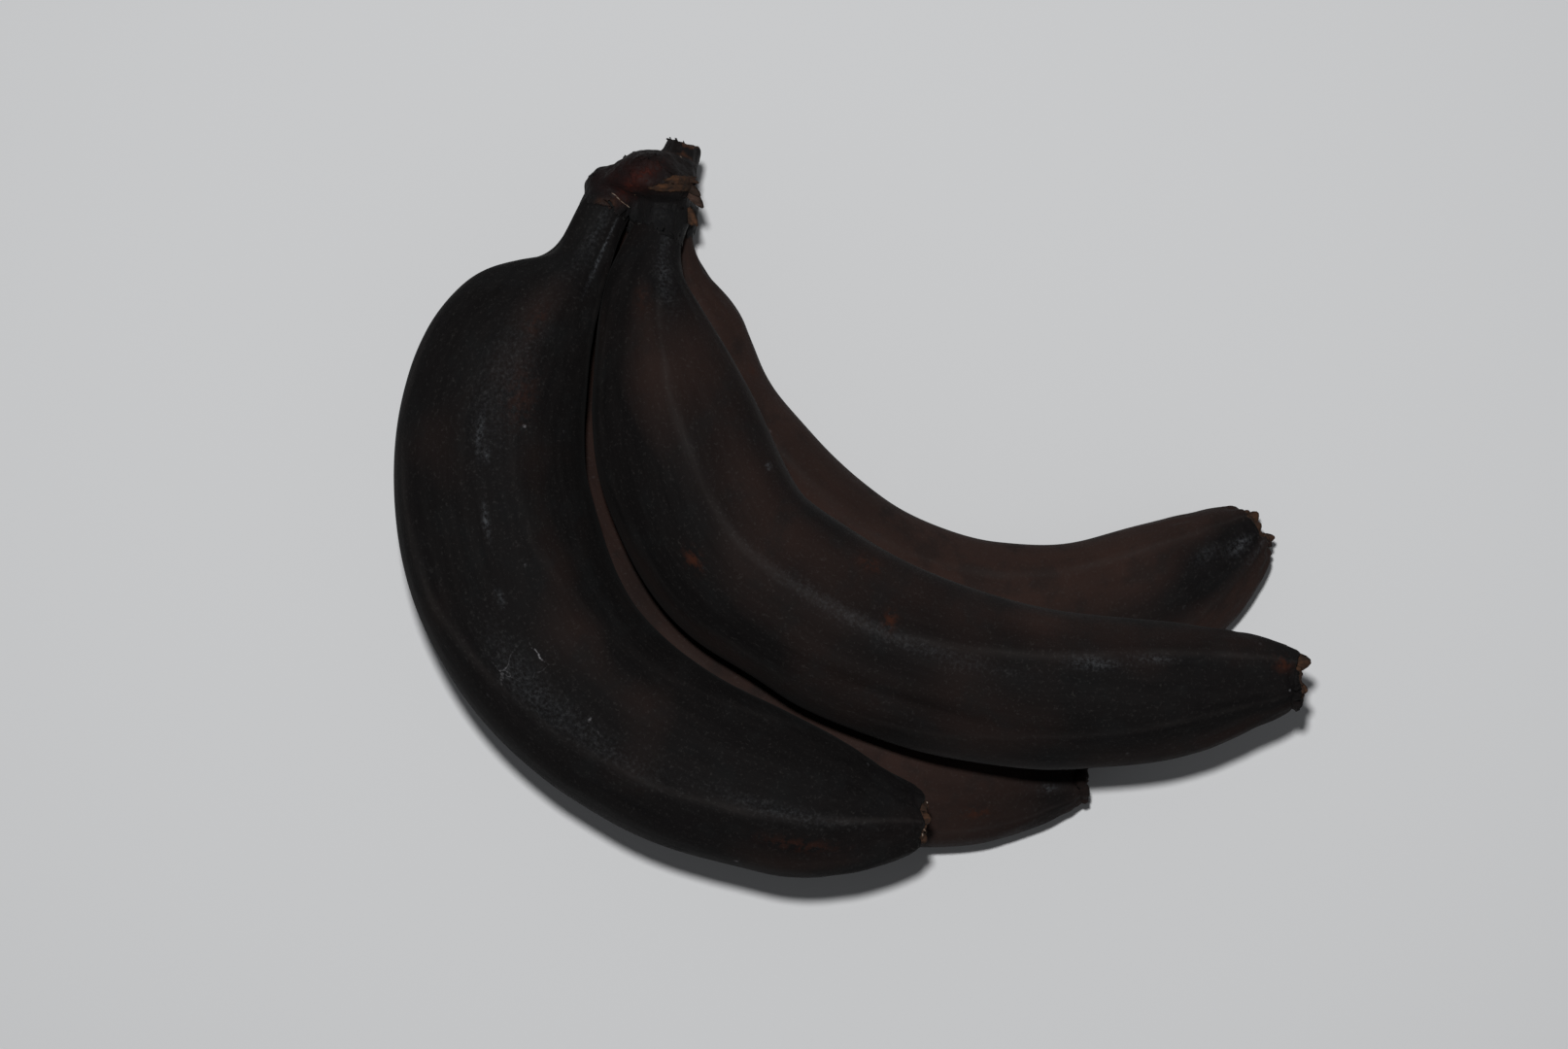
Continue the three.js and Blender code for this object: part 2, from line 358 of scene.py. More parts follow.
    height = calc(tree, "MULTIPLY", grain, 0.5)
    height = calc(tree, "ADD", height, calc(tree, "MULTIPLY", fine, 0.5))
    height = calc(tree, "ADD", height, calc(tree, "MULTIPLY", flecks, 0.6))
    bump = addNode(tree, "ShaderNodeBump",
                   {"Height": height, "Strength": look["bumpStrength"], "Distance": look["bumpDepth"]})
    tree.links.new(bump.outputs[0], surface.inputs["Normal"])
    return material


# fingers, laid along the crease of their layer as the solids are
creases = {
    "upper": [(-44.8, 61.8), (-50, 50), (-54.5, 33), (-56, 13), (-52.3, -6.5), (-42, -25), (-25, -37.5),
              (-3, -47), (25, -52), (55, -51.6), (85, -47.6), (115, -42)],
    "lower": [(-44.2, 62.6), (-48, 50), (-51, 36), (-51.2, 21), (-44.5, 4.5), (-31, -12), (-12, -28),
              (12, -38.8), (38, -42.6), (60, -38), (79, -27.6), (96, -13.5)],
}

# lengths in millimetres. A ridge is (along, degrees around), a swell (along, degrees, how long, how
# many degrees wide, height), and a dent or mark (along, degrees, how long, how wide, amount)
# bloom marks are partly real grey bloom, partly painted highlight sparkle along the lit tops of the fingers
fingers = {
    "lowerOuter": {"node": "banana_lower_outer", "end": "flower_remnant_lower_outer",
                   "layer": "lower", "side": 1, "length": 199, "girth": 35.4, "crest": 0.5,
                   "slimming": 0.5, "neck": 12, "shoulder": 48, "taper": 50, "tip": 10, "bow": 0,
                   "rise": -2, "seed": 3.1, "dents": [],
                   "mainRidge": [(10, 28), (80, 24), (150, 34), (199, 52)],
                   "sideRidges": [(68, 0.5), (142, 0.7), (214, 0.6), (286, 0.8)],
                   "swells": [(180, 10, 15, 34, 1.7)],
                   "brown": 0.76, "marks": {
                       "rust": [(177, 63, 2.6, 1.8, 0.8), (60, 100, 3, 2, 0.7)],
                       "bloomAndSparkle": [(192, 84, 1.6, 2, 0.6), (180, 18, 14, 3, 0.35)],
                       "dark": [(194, 60, 7, 20, 0.7)]}},
    "lowerInner": {"node": "banana_lower_inner", "end": "flower_remnant_lower_inner",
                   "layer": "lower", "side": -1, "length": 182, "girth": 34.8, "crest": 0.5,
                   "slimming": 0.35, "neck": 3, "shoulder": 43, "taper": 30, "tip": 12, "bow": 0,
                   "rise": -1, "seed": 7.7, "dents": [],
                   "swells": [(25, 172, 11, 34, 2.8), (60, 172, 15, 34, 1.1), (130, 172, 16, 30, 1.5),
                              (174, 172, 8, 34, 0.6), (176, 16, 9, 40, 0.9)],
                   "mainRidge": [(10, 134), (60, 126), (85, 122), (105, 126), (130, 135), (150, 136),
                                 (182, 126)],
                   "sideRidges": [(70, 0.7), (138, 0.7), (212, 0.6), (290, 0.5)],
                   "brown": 1.0, "marks": {
                       "rust": [(120, 100, 3, 2, 0.5), (40, 150, 2.5, 1.8, 0.6)],
                       "bloomAndSparkle": [(177, 90, 2.6, 2.4, 0.7), (170, 104, 3.4, 2, 0.25),
                                 (179, 64, 4, 1.6, 0.3)],
                       "dark": [(152, 84, 16, 6, 0.9), (172, 96, 12, 11, 0.95), (180, 90, 8, 24, 0.7)]}},
    "upperOuter": {"node": "banana_upper_outer", "end": "flower_remnant_upper_outer",
                   "layer": "upper", "side": 1, "length": 188, "girth": 39.4, "crest": 0.47,
                   "slimming": 1, "neck": 13, "shoulder": 31, "taper": 24, "tip": 12, "bow": 0,
                   "rise": 0, "seed": 11.3,
                   "swells": [(34, 14, 9, 34, 1.3), (18.5, 20, 4.5, 44, -3.2), (70, 4, 26, 34, 1.3),
                              (22, 172, 12, 30, 2), (11, 172, 6, 40, 1.5), (146, 168, 24, 32, 2.2)],
                   "dents": [(60, 130, 30, 5, 0.5), (120, 50, 30, 4, 0.4)],
                   "mainRidge": [(18, 6), (50, 28), (80, 36), (100, 53), (114, 61), (132, 69),
                                 (160, 80), (188, 96)],
                   "sideRidges": [(74, 0.3), (150, 0.7), (222, 0.6), (292, 0.7)],
                   "brown": -0.12, "marks": {
                       "rust": [(48, 108, 6, 3.5, 0.3), (165, 60, 7, 2, 0.5), (33, 96, 3, 2, 0.4)],
                       "bloomAndSparkle": [(13, 128, 7, 1.1, 1), (11, 96, 8, 5, 0.22), (57, 85, 3.4, 0.6, 0.7),
                                 (61, 90, 1.2, 0.5, 0.6), (74, 86, 3, 0.5, 0.9),
                                 (89, 82, 1.6, 0.6, 0.5), (45, 94, 16, 7, 0.13), (104, 66, 9, 3, 0.2),
                                 (118, 74, 18, 3, 0.16), (160, 84, 14, 2, 0.2)],
                       "scuff": [(102, 82, 2, 2.6, 1), (101, 64, 2.2, 3, 0.35)],
                       "brownPatch": [(30, 92, 10, 7, 0.38), (80, 122, 24, 4, 0.34), (66, 64, 12, 6, 0.3),
                                      (108, 112, 18, 5, 0.26), (168, 40, 12, 4, 0.3)]}},
    "upperInner": {"node": "banana_upper_inner", "end": "flower_remnant_upper_inner",
                   "layer": "upper", "side": -1, "length": 193, "girth": 37, "crest": 0.38,
                   "slimming": 0.7, "neck": 4, "shoulder": 50, "taper": 36, "tip": 10.6, "bow": 4.4,
                   "rise": -2, "seed": 17.9,
                   "swells": [(184, 160, 14, 36, 2.2), (176, 8, 14, 30, 1.1), (24, 8, 14, 30, 1.9),
                              (10, 8, 6, 40, 1.6), (132, 6, 22, 30, 0.8)],
                   "dents": [(118, 58, 16, 2.4, 0.9), (100, 78, 26, 2.2, 0.35), (60, 110, 24, 3, 0.35),
                             (28, 100, 7, 1.6, 0.5)],
                   "mainRidge": [(10, 108), (40, 92), (65, 97), (110, 101), (131, 112), (145, 119),
                                 (165, 125), (193, 128)],
                   "sideRidges": [(66, 0.5), (142, 0.7), (216, 0.6), (-64, 0.6)],
                   "brown": 0.2, "marks": {
                       "rust": [(69, 68, 1.8, 1.5, 1), (98, 142, 2.4, 1.6, 0.9), (107, 110, 1.3, 2.2, 0.9),
                                (20, 84, 3, 3, 0.25), (190, 120, 2, 4, 0.8)],
                       "bloomAndSparkle": [(150, 114, 5, 1.5, 0.5), (163, 119, 4, 1.2, 0.4), (12, 114, 9, 4, 0.34),
                                 (59, 145, 0.8, 0.8, 1), (104, 100, 26, 1.6, 0.22)],
                       "brownPatch": [(25, 85, 12, 5, 0.3), (75, 128, 30, 6, 0.42), (150, 150, 30, 6, 0.4)],
                       "dark": [(60, 50, 26, 6, 0.8), (5, 120, 10, 12, 0.5), (170, 80, 26, 9, 0.7)]}},
}
neckRadius = 5.3
bodySpec = {
    "around": 24,
    "stations": 42,
    "lastStraight": 40,
    "nearTip": (9, 6, 3.4, 1.2, 0.3),
    "tipHollow": ((0.3, 0, 0.99), (0.1, 0, 0.9), (-0.6, 0, 0.93), (-0.9, 0, 0.92), (-0.2, 0, 0.5)),
    "bowStretch": 0.8,
    "standOff": 0.15,
    "neckApart": 6.4,
    "pressedFlat": 1.4,
    "fullness": 1.3,
    "frayed": 3,
    "crest": 0.3,
    "wornCrest": 0.055,
}
pressDepth = {"lumps": -0.4, "hollows": -0.8, "facets": -0.7, "dents": -1.2, "wrinkles": -0.5,
              "frayed": -0.9}


def bodyRadius(finger, along):
    away = abs(along / finger["length"] - finger["crest"])
    full = finger["girth"] / 2 * (1 - finger["slimming"] * away ** 1.5)
    share = min(max((along - finger["neck"]) / finger["shoulder"], 0), 1)
    return neckRadius + (full - neckRadius) * math.sin(share * math.pi / 2) ** 1.3


def radiusAt(finger, along):
    share = min(max((finger["length"] - along) / finger["taper"], 0), 1)
    tipRadius = finger["tip"] / 2
    return tipRadius + (bodyRadius(finger, along) - tipRadius) * math.sin(share * math.pi / 2)


def pathCurve(name, points):
    # one smooth open curve through the points
    curve = bpy.data.curves.new(name, "CURVE")
    curve.dimensions = "3D"
    curve.resolution_u = 24
    curve.twist_mode = "Z_UP"
    spline = curve.splines.new("BEZIER")
    spline.bezier_points.add(len(points) - 1)
    for knot, point in zip(spline.bezier_points, points):
        knot.co = point
        knot.handle_left_type = "AUTO"
        knot.handle_right_type = "AUTO"
    path = bpy.data.objects.new(name, curve)
    bpy.context.scene.collection.objects.link(path)
    return path


def followPath(path, count):
    # evenly spaced points along a curve, measured from its mesh
    pick(path)
    lookup = path.evaluated_get(bpy.context.evaluated_depsgraph_get()).to_mesh()
    points = [vertex.co.copy() for vertex in lookup.vertices]
    reach = [0]
    for first, second in zip(points, points[1:]):
        reach.append(reach[-1] + (second - first).length)
    spaced, at = [], 0
    for step in range(count):
        goal = reach[-1] * step / (count - 1)
        while at < len(points) - 2 and reach[at + 1] < goal:
            at += 1
        share = (goal - reach[at]) / (reach[at + 1] - reach[at])
        spaced.append(points[at].lerp(points[at + 1], share))
    return spaced


def middleLine(finger):
    # walks along the crease, half a finger to one side of it, in millimetres
    guide = pathCurve("guide", [(x, y, 0) for x, y in creases[finger["layer"]]])
    steps = followPath(guide, 260)
    bpy.data.objects.remove(guide)
    low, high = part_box(finger["node"])
    crownLow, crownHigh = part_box("crown")
    crownMiddle = (crownLow.z + crownHigh.z) / 2 / mm
    neckHeight = crownMiddle + bodySpec["neckApart"]
    lying = low.z / mm + (high.z - low.z) / mm / 2
    if finger["layer"] == "lower":
        neckHeight = crownMiddle - bodySpec["neckApart"]
        lying = finger["girth"] / 2 - bodySpec["pressedFlat"]
    points, along, last = [], 0, None
    for here, following in zip(steps, steps[1:]):
        if along >= finger["length"]:
            break
        heading = (following - here).normalized()
        aside = Vector((heading.y, -heading.x, 0)) * finger["side"]
        bowed = min(along / finger["length"] / bodySpec["bowStretch"], 1)
        bowed = finger["bow"] * math.sin(math.pi * bowed) ** 2
        place = here + aside * (bodyRadius(finger, along) + bodySpec["standOff"] + bowed)
        if last is not None:
            along += (place - last).length
        last = place.copy()
        drop = ease(along, 0, finger["neck"] + finger["shoulder"] * 0.6)
        lift = finger["rise"] * ease(along, finger["length"] - finger["taper"] * 2, finger["length"])
        place.z = neckHeight + (lying - neckHeight) * drop + lift
        points.append(place)
    eased = []
    for spot in range(len(points)):
        reach = min(spot, len(points) - 1 - spot, 14)
        nearby = points[spot - reach:spot + reach + 1]
        eased.append(sum(nearby, Vector()) / len(nearby))
    knots = eased[:-6:12] + [eased[-1]]
    return [knot * mm for knot in knots]


def growBody(name, finger, lastStation, swelling=0):
    # a straight body along X: a ring, drawn out station by station
    length = finger["length"] * mm
    wide = radiusAt(finger, 0) + swelling
    body = startRing(name, bodySpec["around"], wide * mm)
    stations = [length * step / bodySpec["stations"] for step in range(1, bodySpec["lastStraight"])]
    stations += [length - back * mm for back in bodySpec["nearTip"]]
    reached = 0
    for station in stations[:lastStation]:
        nextWide = radiusAt(finger, station / mm) + swelling
        bpy.ops.mesh.extrude_region_move(TRANSFORM_OT_translate={"value": (station - reached, 0, 0)})
        bpy.ops.transform.resize(value=(1, nextWide / wide, nextWide / wide), center_override=(0, 0, 0))
        reached = station
        wide = nextWide
    if lastStation is None:
        # the rim of the tip turns in to a shallow hollow
        drawOut(bodySpec["tipHollow"])
    endRing()
    return body


def rememberPlace(body, finger):
    # the straight body's own coordinates stay with the skin when it is bent
    offset = Vector((finger["seed"] * 0.1, 0, 0))
    body.data.attributes.new("peelPlace", "FLOAT_VECTOR", "POINT")
    for vertex in body.data.vertices:
        body.data.attributes["peelPlace"].data[vertex.index].vector = vertex.co + offset


def spots(piece, finger):
    # where each point of the skin was on the straight body: millimetres along, angle around
    places = piece.data.attributes["peelPlace"].data
    shift = finger["seed"] * 0.1
    found = []
    for entry in places:
        spot = Vector((entry.vector.x - shift, entry.vector.y, entry.vector.z)) / mm
        found.append((spot.x, math.atan2(spot.z, -spot.y), spot))
    return found


def press(piece, places, groupName, strength, rule, least=0.12):
    # moves the skin along its normal by strength millimetres times the rule's weight, and
    # hardly where something is close
    room = [max(entry.value, least) for entry in piece.data.attributes["room"].data]
    group = piece.vertex_groups.new(name=groupName)
    for index, (along, angle, spot) in enumerate(places):
        weight = min(max(rule(along, angle, spot), 0), 1) * room[index]
        if weight > 0.004:
            group.add([index], weight, "REPLACE")
    push = piece.modifiers.new(groupName, "DISPLACE")
    push.vertex_group = groupName
    push.mid_level = 0
    push.strength = strength * mm
    bake(piece, push)
    piece.vertex_groups.remove(piece.vertex_groups[groupName])


def stain(piece, places, name, rule):
    # keeps a shade with the skin, for its material
    piece.data.attributes.new(name, "FLOAT", "POINT")
    values = [min(max(rule(*spot), 0), 1) for spot in places]
    piece.data.attributes[name].data.foreach_set("value", values)


def ridgeAngle(line, along):
    # degrees at a place, read off a ridge's own line
    if along <= line[0][0]:
        return math.radians(line[0][1])
    for (start, first), (stop, second) in zip(line, line[1:]):
        if along <= stop:
            share = (along - start) / (stop - start)
            return math.radians(first + (second - first) * share)
    return math.radians(line[-1][1])


def ridgeTable(finger):
    # every millimetre along a finger: where its ridges are, and how strong
    table = []
    for along in range(finger["length"] + 12):
        main = ridgeAngle(finger["mainRidge"], along)
        here = [(main, 1)]
        for number, (offset, strength) in enumerate(finger["sideRidges"]):
            wander = 0.14 * noise.noise(Vector((along / 50, finger["seed"], number)))
            here.append((main + math.radians(offset) + wander, strength))
        table.append(here)
    return table


def ridgeCrest(finger, along, angle, width):
    best = 0
    for ridge, strength in finger["ridges"][max(round(along), 0)]:
        apart = turnBetween(angle, ridge)
        if abs(apart) < width * 2.6:
            best = max(best, strength * bell(apart, 0, width))
    return best * ease(along, 6, 34)


def markSum(finger, kind, along, angle):
    total = 0
    reach = finger["girth"] / 2
    for middle, degrees, longWidth, wideWidth, amount in finger["marks"].get(kind, []):
        if abs(along - middle) > longWidth * 2.5:
            continue
        aside = turnBetween(angle, math.radians(degrees)) * reach
        total += amount * bell(along, middle, longWidth) * bell(aside, 0, wideWidth)
    return total


def layStraight(body, finger, middle):
    # bends a straight body along its middle line
    route = pathCurve("route", middle)
    route.data.use_stretch = True
    route.data.use_deform_bounds = True
    bend = body.modifiers.new("bend", "CURVE")
    bend.object = route
    bend.deform_axis = "POS_X"
    bake(body, bend)
    bpy.data.objects.remove(route)


def boxMiddle(piece):
    sides = [[vertex.co[axis] for vertex in piece.data.vertices] for axis in range(3)]
    return Vector([(max(side) + min(side)) / 2 for side in sides])


def slide(piece, shift):
    pick(piece)
    bpy.ops.object.mode_set(mode="EDIT")
    bpy.ops.mesh.select_all(action="SELECT")
    bpy.ops.transform.translate(value=shift)
    bpy.ops.object.mode_set(mode="OBJECT")


def solidTree(node):
    return BVHTree.FromObject(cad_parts[node], bpy.context.evaluated_depsgraph_get())


solidTrees = {node: solidTree(node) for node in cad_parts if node.startswith("banana")}


def keepRoom(body, node):
    # 0 where another finger or the table is close, 1 in the open
    body.data.attributes.new("room", "FLOAT", "POINT")
    room = []
    for vertex in body.data.vertices:
        least = vertex.co.z
        for other, tree in solidTrees.items():
            if other != node:
                found = tree.find_nearest(vertex.co, 0.004)
                if found[0] is not None:
                    least = min(least, found[3])
        room.append(ease(least / mm, 0.9, 3.2))
    body.data.attributes["room"].data.foreach_set("value", room)


def shapeFinger(name, finger):
    body = growBody(name, finger, None)
    finger["ridges"] = ridgeTable(finger)
    rememberPlace(body, finger)
    middle = middleLine(finger)
    layStraight(body, finger, middle)

    # moved to where its solid lies
    low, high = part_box(finger["node"])
    shift = (low + high) / 2 - boxMiddle(body)
    if finger["layer"] == "lower":
        shift.z = 0
    slide(body, shift)
    finger["root"] = middle[0] + shift
    finger["leaves"] = (middle[1] - middle[0]).normalized()
    finger["tipSpot"] = middle[-1] + shift
    finger["tipHeading"] = (middle[-1] - middle[-2]).normalized()

    skin = body.vertex_groups.new(name="skin")
    for index, (along, angle, spot) in enumerate(spots(body, finger)):
        onSide = along < finger["length"] - 0.2
        skin.add([index], 1 if onSide else 0, "REPLACE")
    snug = body.modifiers.new("snug", "SHRINKWRAP")
    snug.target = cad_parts[finger["node"]]
    snug.wrap_method = "NEAREST_SURFACEPOINT"
    snug.vertex_group = "skin"
    bake(body, snug)
    body.vertex_groups.remove(body.vertex_groups["skin"])

    seed = finger["seed"]
    length = finger["length"]
    keepRoom(body, finger["node"])

    def fullness(along, angle, spot):
        return ease(along, 6, 26)

    press(body, spots(body, finger), "fullness", bodySpec["fullness"], fullness, 0)
    for middle, degrees, longWidth, wideWidth, height in finger["swells"]:
        def swell(along, angle, spot):
            aside = turnBetween(angle, math.radians(degrees))
            across = bell(aside, 0, math.radians(wideWidth))
            return bell(along, middle, longWidth) * across * ease(along, 5, 10)

        press(body, spots(body, finger), "swell", height, swell, 0)
    smoothen(body, 1)

    # everything below presses inwards, so neighbours stay clear of each other
    def lumps(along, angle, spot):
        return (0.5 + 0.9 * noise.noise(spot / 19 + Vector((seed, 0, 0)))) * ease(along, 4, 30)

    def hollows(along, angle, spot):
        return ease(noise.noise(spot / 26 + Vector((0, seed, 5))), 0.15, 0.6) * ease(along, 10, 34)

    def facets(along, angle, spot):
        return (1 - ridgeCrest(finger, along, angle, bodySpec["crest"])) * ease(along, 8, 36)

    def dents(along, angle, spot):
        total = 0
        for middle, degrees, longWidth, wideWidth, amount in finger["dents"]:
            aside = turnBetween(angle, math.radians(degrees)) * spot.yz.length
            total += amount * bell(along, middle, longWidth) * bell(aside, 0, wideWidth)
        return total

    places = spots(body, finger)
    press(body, places, "lumps", pressDepth["lumps"], lumps)
    press(body, places, "hollows", pressDepth["hollows"], hollows)
    smoothen(body, 1)
    places = spots(body, finger)
    press(body, places, "facets", pressDepth["facets"], facets)
    press(body, places, "dents", pressDepth["dents"], dents)
    smoothen(body, 1)

    def wrinkles(along, angle, spot):
        ends = 1 - ease(along, 10, 42) + ease(along, length - 30, length - 6)
        drawn = Vector((along / 15, spot.y / 2.2, spot.z / 2.2)) + Vector((0, 0, seed))
        return (0.5 + 0.8 * noise.noise(drawn)) * (0.14 + 0.86 * ends) * ease(along, 2, 14)

    def frayed(along, angle, spot):
        start = length - bodySpec["frayed"]
        if along < start:
            return 0
        return ease(along, start, length) * (0.5 + noise.noise(spot / 2 + Vector((0, 0, seed))))

    def brown(along, angle, spot):
        patchy = 0.35 * noise.noise(spot / 14 + Vector((seed, 3, 0)))
        there = finger["brown"] + patchy + markSum(finger, "brownPatch", along, angle)
        return there - markSum(finger, "dark", along, angle)

    def wear(along, angle, spot):
        patchy = 0.75 + 0.5 * noise.noise(Vector((along / 9, seed, 2)))
        return ridgeCrest(finger, along, angle, bodySpec["wornCrest"]) * patchy

    places = spots(body, finger)
    press(body, places, "wrinkles", pressDepth["wrinkles"], wrinkles)
    press(body, places, "frayed", pressDepth["frayed"], frayed)
    stain(body, places, "brown", brown)
    stain(body, places, "wear", wear)
    # the bloom shade is partly real bloom, partly painted highlight sparkle
    for kind in ("bloomAndSparkle", "rust", "scuff"):
        stain(body, places, kind, lambda along, angle, spot: markSum(finger, kind, along, angle))

    pick(body)
    bpy.ops.object.shade_smooth()
    body.data.materials.clear()
    body.data.materials.append(peelSkin)
    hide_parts(finger["node"])
    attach(body, "root")
    return body


peelSkin = makePeel("blackPeel")
peels = {name: shapeFinger(name, finger) for name, finger in fingers.items()}
print("fingers laid")


# dried flowers on the tips

flowerLook = {
    "dark": (0.016, 0.0105, 0.008, 1),
    "woody": (0.075, 0.034, 0.017, 1),
    "pale": (0.3, 0.27, 0.23, 1),
    "rusty": (0.1, 0.04, 0.017, 1),
    "peach": (0.062, 0.036, 0.027, 1),
    "orange": (0.075, 0.032, 0.0135, 1),
}
flowerSpec = {
    "around": 30,
    "cupShare": 0.68,
    "sunk": 0.9,
    "fibreTurn": 2.4,
    "steps": ((0.5, 0, 1.1), (0.6, 0, 0.96), (0.5, 0, 0.9), (0.2, 0, 0.88), (-0.4, 0, 0.86),
              (-0.6, 0, 0.84), (0.1, 0, 0.72), (0.5, 0, 0.7), (0.5, 0, 0.62), (0.1, 0, 0.4)),
}
# flakes are (place on the rim, heading, length, width)
flowers = {
    "lowerOuter": {"fibres": 12, "pale": 0.55, "rusty": 0.3, "nubs": 3, "seed": 5, "flakes": []},
    "lowerInner": {"fibres": 11, "pale": 0.1, "rusty": 0.25, "nubs": 6, "seed": 9,
                   "flakes": [((1.2, 0.5, 0.5), (1, 0.2, 0.1), 2.4, 3),
                              ((1.2, -0.7, 0.4), (1, -0.5, 0), 2.2, 2.2)]},
    "upperOuter": {"fibres": 18, "pale": 0.6, "rusty": 0.3, "nubs": 4, "seed": 14, "flakes": []},
    "upperInner": {"fibres": 13, "pale": 0.12, "rusty": 0.65, "nubs": 5, "seed": 21,
                   "flakes": [((0.3, 0.98, 0.3), (1, 0.04, 0.12), 3.8, 4.2),
                              ((1.2, -0.45, 0.3), (1, -0.3, 0.1), 1.8, 2.6)]},
}


def makeDried(name, deep, light, fineness):
    # dry plant fibre, darker in its hollows
    material, tree, surface = newMaterial(name)
    place = addNode(tree, "ShaderNodeTexCoord").outputs["Object"]
    fibre = useEffect(tree, "streaks",
                      {"place": place, "fineness": fineness, "drawnOut": 0.3, "softness": 0.2})
    patch = useEffect(tree, "patches", {"place": place, "fineness": 420.0, "level": 0.42, "edge": 0.2})
    colour = tint(tree, deep, light, calc(tree, "MULTIPLY", fibre, portion(tree, patch, 0.3, 0.7)))
    tree.links.new(colour, surface.inputs["Base Color"])
    surface.inputs["Roughness"].default_value = 0.92
    surface.inputs["Specular IOR Level"].default_value = 0.15
    bump = addNode(tree, "ShaderNodeBump", {"Height": fibre, "Strength": 0.7, "Distance": 0.0003})
    tree.links.new(bump.outputs[0], surface.inputs["Normal"])
    return material


driedMaterials = {
    "core": makeDried("driedCore", flowerLook["dark"], flowerLook["woody"], 900.0),
    "pale": makeDried("paleFibre", flowerLook["woody"], flowerLook["pale"], 1500.0),
    "rusty": makeDried("rustyFibre", flowerLook["dark"], flowerLook["rusty"], 1300.0),
    "dark": makeDried("darkFlake", flowerLook["dark"], flowerLook["woody"], 1100.0),
    "fresh": makeDried("tornSkin", flowerLook["dark"], flowerLook["peach"], 1200.0),
    "strip": makeDried("woodyStrip", flowerLook["dark"], flowerLook["orange"], 1100.0),
}


def modelSliver():
    # one torn fibre, a millimetre long and pointing along X
    fibre = startRing("sliver", 5, 0.5 * mm)
    drawOut(((0.3, 0.02, 1.1), (0.25, 0.06, 0.8), (0.25, 0.12, 0.7), (0.2, 0.16, 0.35)))
    endRing()
    bpy.ops.object.shade_smooth()
    return fibre


sliver = modelSliver()


def addSliver(spot, heading, length, width, thick, kind):
    copy = bpy.data.objects.new("fibre", sliver.data.copy())
    bpy.context.scene.collection.objects.link(copy)
    copy.location = spot
    copy.rotation_euler = heading.to_track_quat("X", "Z").to_euler()
    copy.scale = (length, width, thick)
    copy.data.materials.append(driedMaterials[kind])
    return copy


def joinAll(main, others):
    bpy.ops.object.select_all(action="DESELECT")
    for other in others:
        other.select_set(True)
    main.select_set(True)
    bpy.context.view_layer.objects.active = main
    bpy.ops.object.join()
    bpy.ops.object.transform_apply(location=True, rotation=True, scale=True)


def modelCup(name, radius, seed):
    # a ragged cup with a nub in its middle, opening along X
    cup = startRing(name, flowerSpec["around"], radius)
    drawOut(flowerSpec["steps"])
    endRing()
    smoothen(cup, 1)
    for vertex in cup.data.vertices:
        spot = vertex.co / mm + Vector((seed, 0, 0))
        outward = vertex.co.x / mm
        ragged = noise.noise(spot / 0.8) * 0.5 + noise.noise(spot / 2.2) * 0.9
        vertex.co.x += ragged * mm * 0.75 * ease(outward, 0.2, 1.2)
        side = 1 + 0.16 * noise.noise(spot / 1.1 + Vector((0, 4, 0)))
        vertex.co.y *= side
        vertex.co.z *= side
    cup.data.materials.append(driedMaterials["core"])
    bpy.ops.object.shade_smooth()
    return cup


def fibreKind(number, look):
    chance = (number * 0.618 + look["seed"] * 0.37) % 1
    if chance < look["pale"]:
        return "pale"
    if chance < look["pale"] + look["rusty"]:
        return "rusty"
    return "dark"


def makeFlower(name, finger, look):
    # the cup on the tip, with torn fibres, nubs and flakes round its rim
    radius = finger["tip"] / 2 * flowerSpec["cupShare"] * mm
    cup = modelCup(name + "Flower", radius, look["seed"])
    heading = finger["tipHeading"]
    cup.rotation_euler = heading.to_track_quat("X", "Z").to_euler()
    cup.location = finger["tipSpot"] - heading * flowerSpec["sunk"] * mm
    bpy.context.view_layer.update()
    tip = cup.matrix_world.copy()
    turn = tip.to_3x3()
    fibres = []
    for number in range(look["fibres"]):
        angle = number * flowerSpec["fibreTurn"] + look["seed"]
        jitter = noise.noise(Vector((number * 3.7, look["seed"], 0)))
        reach = radius * (0.8 + 0.2 * jitter)
        rim = Vector((0.7 * mm, math.cos(angle) * reach, math.sin(angle) * reach))
        lean = Vector((0.8, math.cos(angle + 0.8 + jitter), math.sin(angle + 0.8 + jitter) * 0.9))
        length = 1.0 + 2.2 * abs(jitter)
        width = 0.8 + 0.8 * jitter
        toward = (turn @ lean).normalized()
        fibres.append(addSliver(tip @ rim, toward, length, width, 0.35, fibreKind(number, look)))
    for number in range(look["nubs"]):
        uneven = noise.noise(Vector((number * 2.3, look["seed"], 7)))
        angle = number * math.tau / look["nubs"] + look["seed"] * 1.3 + uneven
        rim = Vector((0.9 * mm, math.cos(angle) * radius * 0.85, math.sin(angle) * radius * 0.85))
        lean = Vector((0.9, math.cos(angle) * 0.5, math.sin(angle) * 0.5))
        toward = (turn @ lean).normalized()
        fibres.append(addSliver(tip @ rim, toward, 1.4 + 1.5 * uneven, 2.2 + 2 * uneven, 1.5, "dark"))
    for spot, lean, length, width in look["flakes"]:
        rim = Vector((spot[0] * mm, spot[1] * radius, spot[2] * radius))
        toward = (turn @ Vector(lean)).normalized()
        fibres.append(addSliver(tip @ rim, toward, length, width, 0.9, "dark"))
    joinAll(cup, fibres)
    cup.name = name + "Flower"
    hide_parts(finger["end"])
    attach(cup, "root")


for name, look in flowers.items():
    makeFlower(name, fingers[name], look)
print("dried flowers set")


# crown

